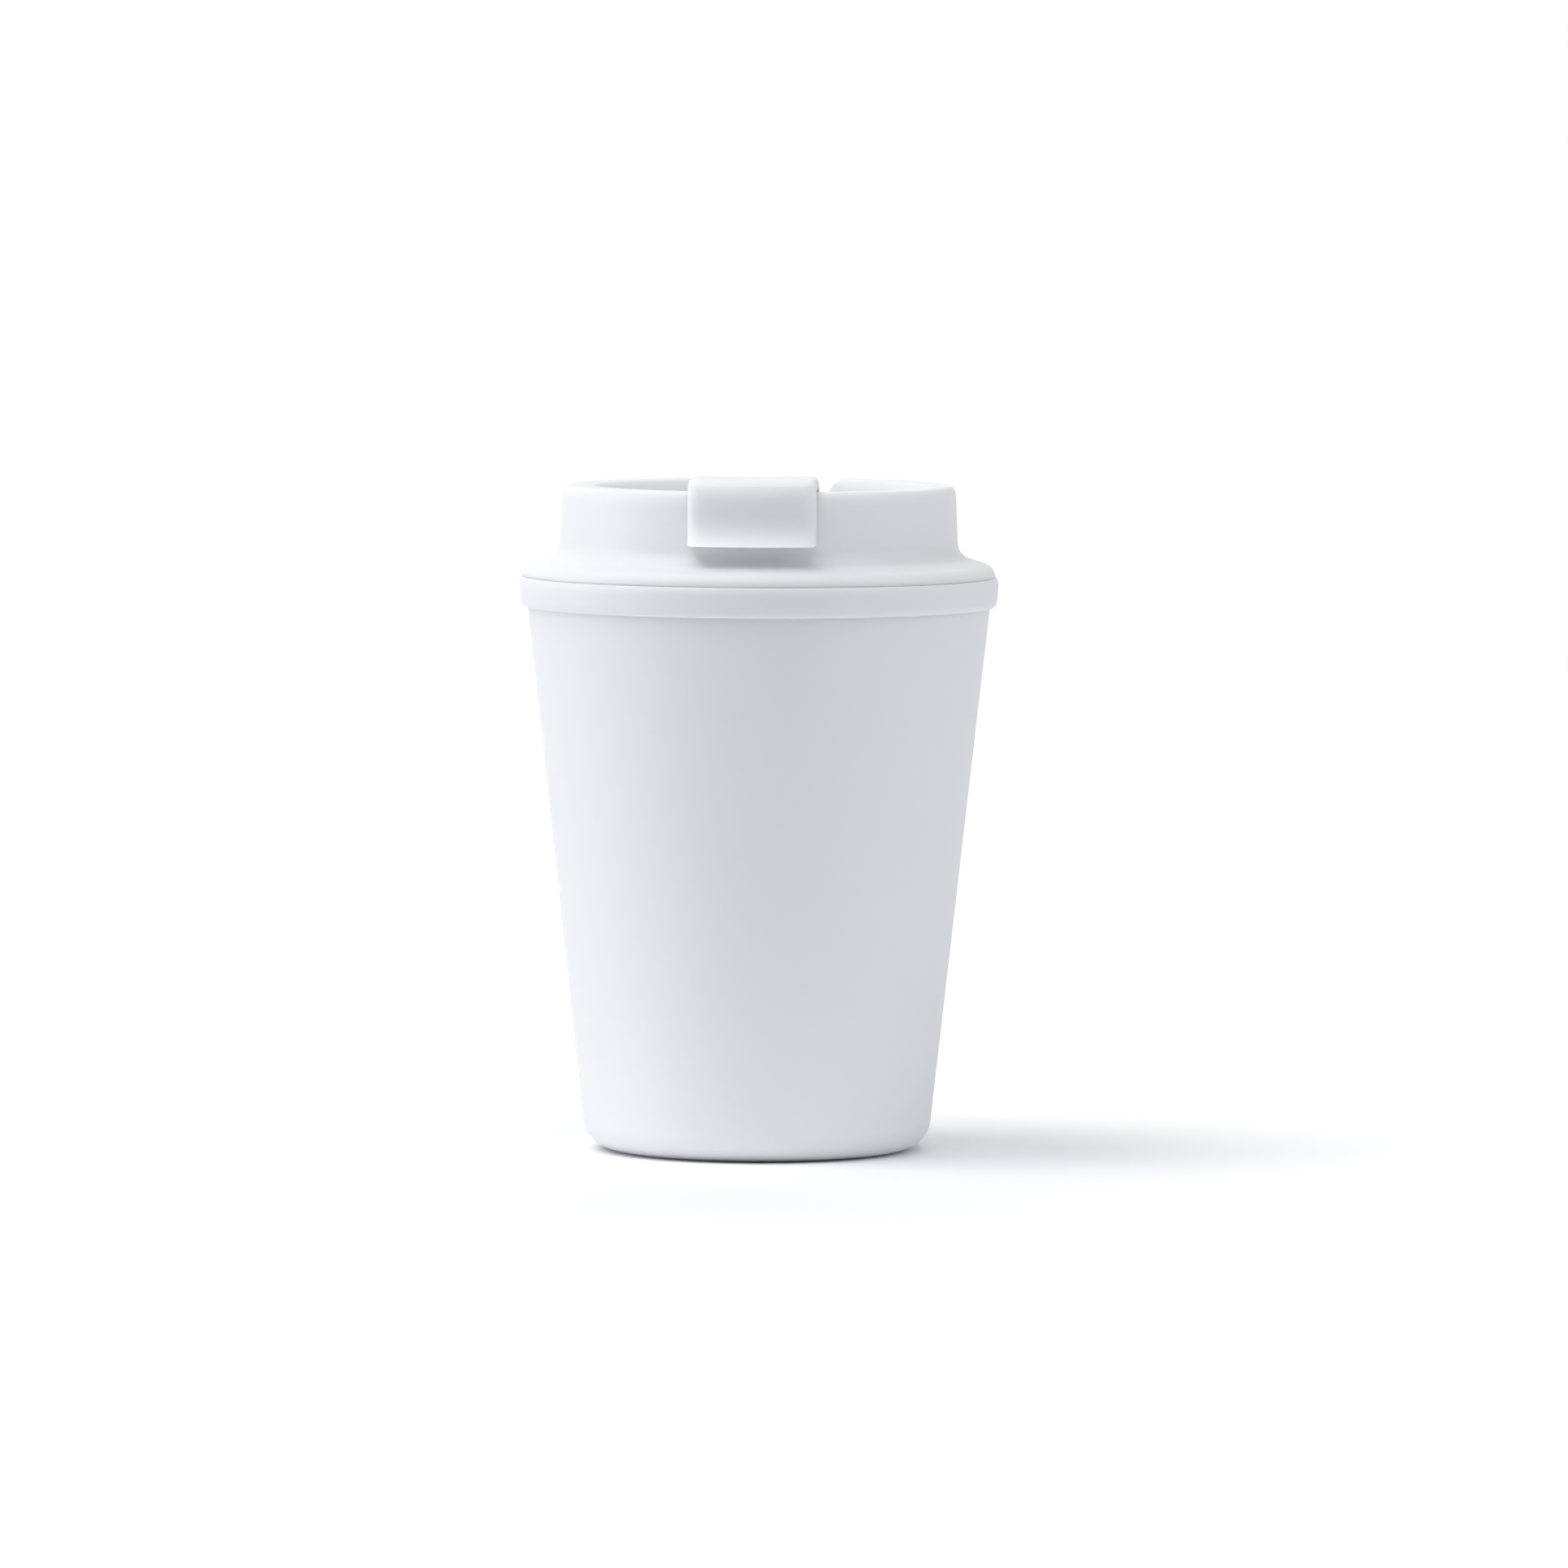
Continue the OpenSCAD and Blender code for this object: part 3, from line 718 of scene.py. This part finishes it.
def band_section(width, thickness, outer_round, outer_w, inner_round):
    """Outline (across, depth) of a band, its outer edges rounded outer_round deep and outer_w wide"""
    half = width / 2
    steps, columns = SECTION_ROUND_STEPS, SECTION_COLUMNS
    points = []
    for rounding, wide, outer in ((outer_round, outer_w, True), (inner_round, inner_round, False)):
        edge = []
        for i in range(steps + 1):
            angle = math.pi / 2 * i / steps
            edge.append((half - wide * (1 - math.cos(angle)), rounding * (1 - math.sin(angle))))
        flat = half - wide
        across = [flat * (1 - 2 * i / columns) for i in range(1, columns)]
        line = edge + [(x, 0.0) for x in across] + [(-x, depth) for x, depth in reversed(edge)]
        if outer:
            points += line
        else:
            points += [(x, thickness - depth) for x, depth in reversed(line)]
    return points


def rounded_in(radius, height):
    """Amount that a corner of this radius draws in at a height above its end"""
    below = max(0.0, radius - height)
    return radius - math.sqrt(radius * radius - below * below)


def smooth_step(value, low, high):
    """0 below low, 1 above high and an even curve between"""
    t = min(1.0, max(0.0, (value - low) / (high - low)))
    return t * t * (3 - 2 * t)


class COFFEECUP_OT_flip_cap(bpy.types.Operator):
    """Closure: hinge barrel and pins, the strap over the rim, the tab in front, and the boss"""

    bl_idname = "coffee_cup.flip_cap"
    bl_label = "Closure"

    def execute(self, context):
        cup = context.scene.coffee_cup
        sizes, lid = cup.closure, cup.lid
        drum_r = lid.skirt_r - lid.drum_step
        hinge_z = LID_TOP.z - lid.recess_h + sizes.hinge_h
        piece = shape(self.band(sizes, drum_r, hinge_z), "closure_moulding")
        hinge = (0, 0, hinge_z)
        pins_l = CLOSURE_TOP.x - CLOSURE_LOW.x
        boss_low = LID_TOP.z - lid.recess_h + cup.stopper.gap + cup.stopper.flange_t / 2
        boss_top = CLOSURE_TOP.z - sizes.thickness / 2
        combine(piece, "UNION", [
            rod(sizes.barrel_r, sizes.width, hinge, ACROSS, sizes.under_round),
            rod(sizes.pin_r, pins_l, hinge, ACROSS, sizes.lip_round),
            rod(sizes.boss_r, boss_top - boss_low, (0, DRINK_Y, (boss_top + boss_low) / 2)),
        ])
        plastic = moulded_finish("matte_closure_plastic", cup.finish, "lid")
        complete(piece, "closure", "flip_cap", plastic)
        return {"FINISHED"}

    def band(self, sizes, drum_r, hinge_z):
        """Strap and tab in one, a row of rounded sections from the hinge to the lip"""
        half_t = sizes.thickness / 2
        top_z, tab_z = CLOSURE_TOP.z, CLOSURE_LOW.z
        under_z = top_z - sizes.thickness
        back = drum_r + sizes.tab_gap
        face = back + sizes.tab_t
        ramp_end = sizes.ramp_start + sizes.ramp_l

        # Front edge down to the crease, and the brow that starts from there
        above = math.acos(1 - sizes.crease_h / sizes.edge_round)
        below = above + sizes.crease_turn
        reach = sizes.edge_round * math.tan(above / 2)
        brow = sizes.brow_round * math.tan(math.pi / 4 - below / 2 + sizes.waist_lean)
        brow_z = top_z - sizes.crease_h - brow * math.sin(below)
        crease = (face - brow * math.cos(below), top_z - sizes.crease_h)
        outer = bent_line([
            (0, hinge_z + half_t, 0),
            (sizes.ramp_start, hinge_z + half_t, sizes.ramp_round),
            (ramp_end, top_z, sizes.ramp_round),
            (crease[0] - reach * math.cos(above), top_z, sizes.edge_round),
            (*crease, 0),
            (face, brow_z, sizes.brow_round),
            (face - sizes.waist, tab_z + sizes.lip_h, sizes.face_round),
            (face + sizes.lip_out, tab_z, 0),
        ])
        inner = bent_line([
            (0, hinge_z - half_t, 0),
            (sizes.ramp_start + half_t, hinge_z - half_t, sizes.ramp_round),
            (ramp_end + half_t, under_z, sizes.ramp_round / 2),
            (back, under_z, sizes.under_round),
            (back, tab_z, 0),
        ])[:-1]

        # Each point of the outer line has its partner on the back of the tab, in even order downwards
        end = outer.pop()
        down = (end - outer[-1]).normalized()
        inner_top = inner[-1].y
        for i, spot in enumerate(outer[len(inner):], 1):
            inner.append(Vector((back, min(spot.y, inner_top - i * sizes.row_step))))

        # Rows that round the lip's end and the tab's two lower corners
        narrower = [0.0] * len(outer)
        for i in range(CORNER_STEPS + 1):
            height = sizes.corner_round * (1 - math.sin(math.pi / 2 * i / CORNER_STEPS))
            inset = rounded_in(sizes.lip_round, height)
            outer.append(end - down * height - Vector((inset, 0)))
            inner.append(Vector((back + inset, outer[-1].y)))
            narrower.append(rounded_in(sizes.corner_round, height))

        bm = bmesh.new()
        loops = []
        for out, into, narrow in zip(outer, inner, narrower):
            front = smooth_step(out.x, ramp_end, face - sizes.edge_round)
            low = smooth_step(top_z - out.y, 0, sizes.edge_round)
            tab = low * front
            side_round = sizes.top_side_round * (1 - tab) + sizes.side_round * tab
            thickness = (out - into).length
            side_round = min(side_round, SIDE_SHARE * thickness - sizes.under_round)
            side_w = sizes.top_side_round_w * (1 - tab) + sizes.side_round_w * tab
            width = sizes.width - 2 * narrow
            section = band_section(width, thickness, side_round, side_w, sizes.under_round)
            sink = sizes.dish * (1 - low) * smooth_step(out.x, sizes.ramp_start, ramp_end)
            loops.append(self.ring(bm, section, out, into, front, sink, sizes.width))
        for one, two in zip(loops, loops[1:]):
            bmesh.ops.bridge_loops(bm, edges=one + two)
        for loop in (loops[0], loops[-1]):
            bmesh.ops.contextual_create(bm, geom=loop)
        bmesh.ops.recalc_face_normals(bm, faces=bm.faces)
        return bm

    def ring(self, bm, section, out, into, front, sink, width):
        """Closed loop of edges through one section, bowed like the drum where front is 1"""
        verts = []
        thickness = (out - into).length
        for x, depth in section:
            away, height = out.lerp(into, depth / thickness)
            bow = away - math.sqrt(away * away - x * x) if front > 0 else 0
            dip = sink * (1 - depth / thickness) * (1 - (2 * x / width) ** 2)
            verts.append(bm.verts.new((x, front * bow - away, height - dip)))
        return [bm.edges.new((verts[i - 1], verts[i])) for i in range(len(verts))]


class COFFEECUP_OT_spout_plug(bpy.types.Operator):
    """Silicone stopper on the closure's boss"""

    bl_idname = "coffee_cup.spout_plug"
    bl_label = "Stopper"

    def execute(self, context):
        cup = context.scene.coffee_cup
        sizes, lid, closure = cup.stopper, cup.lid, cup.closure
        base_z = LID_TOP.z - lid.recess_h + sizes.gap
        top_z, low_z = STOPPER_TOP.z, STOPPER_LOW.z
        flange_r = STOPPER_TOP.x
        socket_r = closure.boss_r + sizes.socket_gap
        socket_z = base_z + sizes.flange_t / 2
        soft = sizes.edge_round
        bm = turned([
            (0, low_z, 0),
            (sizes.nose_r - sizes.nose_draft, low_z, soft),
            (sizes.nose_r, base_z, 0),
            (flange_r, base_z, soft / 2),
            (flange_r, top_z, soft),
            (socket_r, top_z, soft / 2),
            (socket_r, socket_z, 0),
            (0, socket_z, 0),
        ], HOLE_STEPS)
        bmesh.ops.translate(bm, vec=(0, DRINK_Y, 0), verts=bm.verts)
        piece = shape(bm, "silicone_stopper")
        silicone = moulded_finish("soft_stopper_silicone", cup.finish, "silicone")
        complete(piece, "closure", "spout_plug", silicone)
        return {"FINISHED"}


# Name, strength, spread, heading from the front of the cup and elevation, the last three in degrees
LIGHTS = (
    ("left_low", 1.38, 40, -90, 5),
    ("left_high", 0.94, 45, -90, 60),
    ("front_left_high", 0.84, 45, -55, 57),
    ("right", 0.8, 45, 82, 24),
    ("front_right_high", 0.68, 45, 36, 65),
    ("back_high", 0.42, 40, 180, 50),
    ("front", 0.27, 50, 0, 38),
)


def lamp(name, strength, spread, heading, elevation):
    """Broad soft light that falls evenly from a heading round the cup and an elevation"""
    light = bpy.data.lights.new(name, "SUN")
    light.energy = strength
    light.angle = math.radians(spread)
    made = bpy.data.objects.new(name, light)
    bpy.context.scene.collection.objects.link(made)
    a, e = math.radians(heading), math.radians(elevation)
    towards = Vector((math.sin(a) * math.cos(e), -math.cos(a) * math.cos(e), math.sin(e)))
    made.rotation_mode = "QUATERNION"
    made.rotation_quaternion = towards.to_track_quat("Z", "Y")


class COFFEECUP_OT_stage(bpy.types.Operator):
    """White studio: round floor, soft lights and the camera"""

    bl_idname = "coffee_cup.stage"
    bl_label = "Studio"

    def execute(self, context):
        stage = context.scene.coffee_cup.stage
        self.floor(stage, context.scene.coffee_cup.shell.foot_r)
        for light in LIGHTS:
            lamp(*light)
        self.surroundings(stage)
        self.camera(stage)
        return {"FINISHED"}

    def floor(self, stage, foot_r):
        """Round pale floor, which glows faintly where the camera sees it but for a painted shade in front of
        the cup, and glows as painted light on the foot's front
        """
        bm = bmesh.new()
        bmesh.ops.create_circle(bm, cap_ends=True, segments=FLOOR_STEPS, radius=stage.floor_r)
        ground = shape(bm, "floor")
        material = bpy.data.materials.new("pale_floor")
        material.use_nodes = True
        tree = material.node_tree
        shader = tree.nodes["Principled BSDF"]
        fill(shader, {
            "Base Color": (*stage.floor_white, 1),
            "Roughness": stage.floor_roughness,
            "Emission Color": WHITE,
        })
        painted_foot_glow = tree.nodes.new("ShaderNodeMath")
        painted_foot_glow.operation = "MULTIPLY"
        seen = tree.nodes.new("ShaderNodeMix")
        seen.data_type = "FLOAT"
        # Painted light and shade: the floor glows to light the foot's front though it is no lamp, and its
        # camera glow is held back in front of the cup, which paints a faint shade there
        fades = (
            (painted_foot_glow.inputs[0], stage.painted_foot_light_place, (stage.painted_foot_light_r, stage.painted_foot_light_end_r), (stage.painted_foot_light, 0)),
            (painted_foot_glow.inputs[1], (0, 0, 0), (foot_r, foot_r + stage.painted_foot_light_edge), (0, 1)),
            (seen.inputs["B"], stage.painted_shade_place, (stage.painted_shade_r, stage.painted_shade_end_r), (0, stage.floor_glow)),
        )
        for socket, centre, radii, strengths in fades:
            tree.links.new(self.fading(tree, centre, radii, strengths), socket)
        paths = tree.nodes.new("ShaderNodeLightPath")
        tree.links.new(painted_foot_glow.outputs["Value"], seen.inputs["A"])
        tree.links.new(paths.outputs["Is Camera Ray"], seen.inputs["Factor"])
        tree.links.new(seen.outputs["Result"], shader.inputs["Emission Strength"])
        ground.data.materials.append(material)

    def fading(self, tree, centre, radii, strengths):
        """Value that changes evenly from one strength to the other between two distances from centre"""
        place = tree.nodes.new("ShaderNodeTexCoord")
        away = tree.nodes.new("ShaderNodeVectorMath")
        away.operation = "DISTANCE"
        away.inputs[1].default_value = centre
        fade = tree.nodes.new("ShaderNodeMapRange")
        fade.interpolation_type = "SMOOTHSTEP"
        fill(fade, {
            "From Min": radii[0],
            "From Max": radii[1],
            "To Min": strengths[0],
            "To Max": strengths[1],
        })
        tree.links.new(place.outputs["Object"], away.inputs[0])
        tree.links.new(away.outputs["Value"], fade.inputs["Value"])
        return fade.outputs["Result"]

    def surroundings(self, stage):
        """Even light from all round, seen as white behind the cup"""
        world = bpy.data.worlds.new("white_studio")
        bpy.context.scene.world = world
        world.use_nodes = True
        nodes = world.node_tree.nodes
        links = world.node_tree.links
        paths = nodes.new("ShaderNodeLightPath")
        seen = nodes.new("ShaderNodeMath")
        seen.operation = "MAXIMUM"
        both = nodes.new("ShaderNodeMath")
        both.operation = "MAXIMUM"
        strength = nodes.new("ShaderNodeMapRange")
        fill(strength, {"To Min": stage.world, "To Max": 1})
        links.new(paths.outputs["Is Camera Ray"], seen.inputs[0])
        links.new(paths.outputs["Is Glossy Ray"], seen.inputs[1])
        links.new(seen.outputs[0], both.inputs[0])
        links.new(paths.outputs["Is Transmission Ray"], both.inputs[1])
        links.new(both.outputs[0], strength.inputs["Value"])
        links.new(strength.outputs["Result"], nodes["Background"].inputs["Strength"])
        fill(nodes["Background"], {"Color": WHITE})

    def camera(self, stage):
        """Camera at the photograph's distance, height and angle"""
        data = bpy.data.cameras.new("camera")
        data.lens = stage.lens
        made = bpy.data.objects.new("camera", data)
        bpy.context.scene.collection.objects.link(made)
        around = Matrix.Rotation(stage.camera_turn, 4, "Z")
        place = Matrix.Translation((stage.camera_aside, -stage.camera_away, stage.camera_up))
        pitch = Matrix.Rotation(math.pi / 2 - stage.camera_pitch, 4, "X")
        roll = Matrix.Rotation(stage.camera_roll, 4, "Z")
        made.matrix_world = around @ place @ pitch @ roll
        bpy.context.scene.camera = made
        bpy.context.scene.view_settings.view_transform = "Standard"


STEPS = ("outer_shell", "inner_cup", "lid", "lid_gasket", "flip_cap", "spout_plug", "stage")


class COFFEECUP_PT_panel(bpy.types.Panel):
    """Buttons that build the cup"""

    bl_idname = "COFFEECUP_PT_panel"
    bl_label = "Coffee cup"
    bl_space_type = "VIEW_3D"
    bl_region_type = "UI"
    bl_category = "Coffee cup"

    def draw(self, context):
        for step in STEPS:
            self.layout.operator(f"coffee_cup.{step}")


CLASSES = (
    ShellSizes,
    InnerCupSizes,
    LidSizes,
    RingSizes,
    LugSizes,
    ClosureSizes,
    StopperSizes,
    Finish,
    StageSettings,
    CupSettings,
    COFFEECUP_OT_outer_shell,
    COFFEECUP_OT_inner_cup,
    COFFEECUP_OT_lid,
    COFFEECUP_OT_lid_gasket,
    COFFEECUP_OT_flip_cap,
    COFFEECUP_OT_spout_plug,
    COFFEECUP_OT_stage,
    COFFEECUP_PT_panel,
)


def register():
    for each in CLASSES:
        bpy.utils.register_class(each)
    bpy.types.Scene.coffee_cup = bpy.props.PointerProperty(type=CupSettings)


def unregister():
    del bpy.types.Scene.coffee_cup
    for each in reversed(CLASSES):
        bpy.utils.unregister_class(each)


def main():
    register()
    for step in STEPS:
        getattr(bpy.ops.coffee_cup, step)()


if __name__ == "__main__":
    main()
